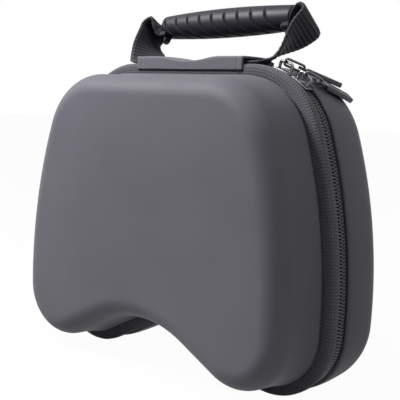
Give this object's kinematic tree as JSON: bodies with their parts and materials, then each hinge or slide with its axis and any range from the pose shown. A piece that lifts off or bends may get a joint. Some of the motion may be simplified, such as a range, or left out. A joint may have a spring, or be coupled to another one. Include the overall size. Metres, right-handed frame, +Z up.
{
  "type": "game controller carrying case",
  "caption": "Hard moulded clamshell carrying case for a game controller, with a zip round the rim, sliders with pulls, a cloth hinge, a net pocket and a webbing handle with a grip.",
  "frame": {"origin": "floor under the middle of the case, in the plane of the zip", "axes": "+Z up to the handle, +X along the width, front of the lid faces -Y"},
  "size_m": [0.1902, 0.0824, 0.1852],
  "materials": {
    "shell_cover": "matte charcoal leatherette over moulded foam",
    "flap_leatherette": "matte dark leatherette strip",
    "lining_cloth": "fine knitted lining",
    "pocket_net": "open net",
    "zip_tape": "woven tape",
    "zip_coil": "nylon coil",
    "webbing": "woven webbing",
    "grip_rubber": "satin moulded rubber",
    "slider_metal": "black painted zinc",
    "pull_rubber": "matte moulded rubber"
  },
  "bodies": {
    "rear": {"rear_shell": "shell_cover", "rear_binding": "lining_cloth", "zip_tape_rear": "zip_tape", "zip_coil_rear": "zip_coil", "hinge_cloth": "lining_cloth", "spine_flap": "flap_leatherette", "handle_webbing": "webbing", "handle_grip": "grip_rubber"},
    "lid": {"front_shell": "shell_cover", "front_binding": "lining_cloth", "zip_tape_front": "zip_tape", "zip_coil_front": "zip_coil", "mesh_pocket": "pocket_net", "pocket_elastic": "lining_cloth"},
    "slider_1": {"slider_1_body": "slider_metal"},
    "pull_1": {"pull_1_link": "slider_metal", "pull_1_tab": "pull_rubber"},
    "slider_2": {"slider_2_body": "slider_metal"},
    "pull_2": {"pull_2_link": "slider_metal", "pull_2_tab": "pull_rubber"}
  },
  "joints": [
    {"name": "lid_hinge", "type": "hinge", "parent": "rear", "child": "lid", "pos_m": [0, -0.0042, 0.1549], "axis": [-1, 0, 0], "range_deg": [0, 110], "deforming": ["spine_flap", "hinge_cloth", "zip_tape_front", "zip_coil_front"]},
    {"name": "slider_1_travel", "type": "hinge", "parent": "rear", "child": "slider_1", "pos_m": [0.04, 0, 0.1106], "axis": [0, 1, 0], "range_deg": [-4, 0], "deforming": ["handle_webbing"]},
    {"name": "slider_2_travel", "type": "hinge", "parent": "rear", "child": "slider_2", "pos_m": [0.04, 0, 0.1106], "axis": [0, 1, 0], "range_deg": [0, 23]},
    {"name": "pull_1_swing", "type": "hinge", "parent": "slider_1", "child": "pull_1", "pos_m": [0.05502, 0, 0.1555], "axis": [0.9483, 0, -0.3173], "range_deg": [0, 92], "deforming": ["handle_webbing"]},
    {"name": "pull_2_swing", "type": "hinge", "parent": "slider_2", "child": "pull_2", "pos_m": [0.06661, 0, 0.14976], "axis": [0.8271, 0, -0.5621], "range_deg": [0, 160]}
  ]
}
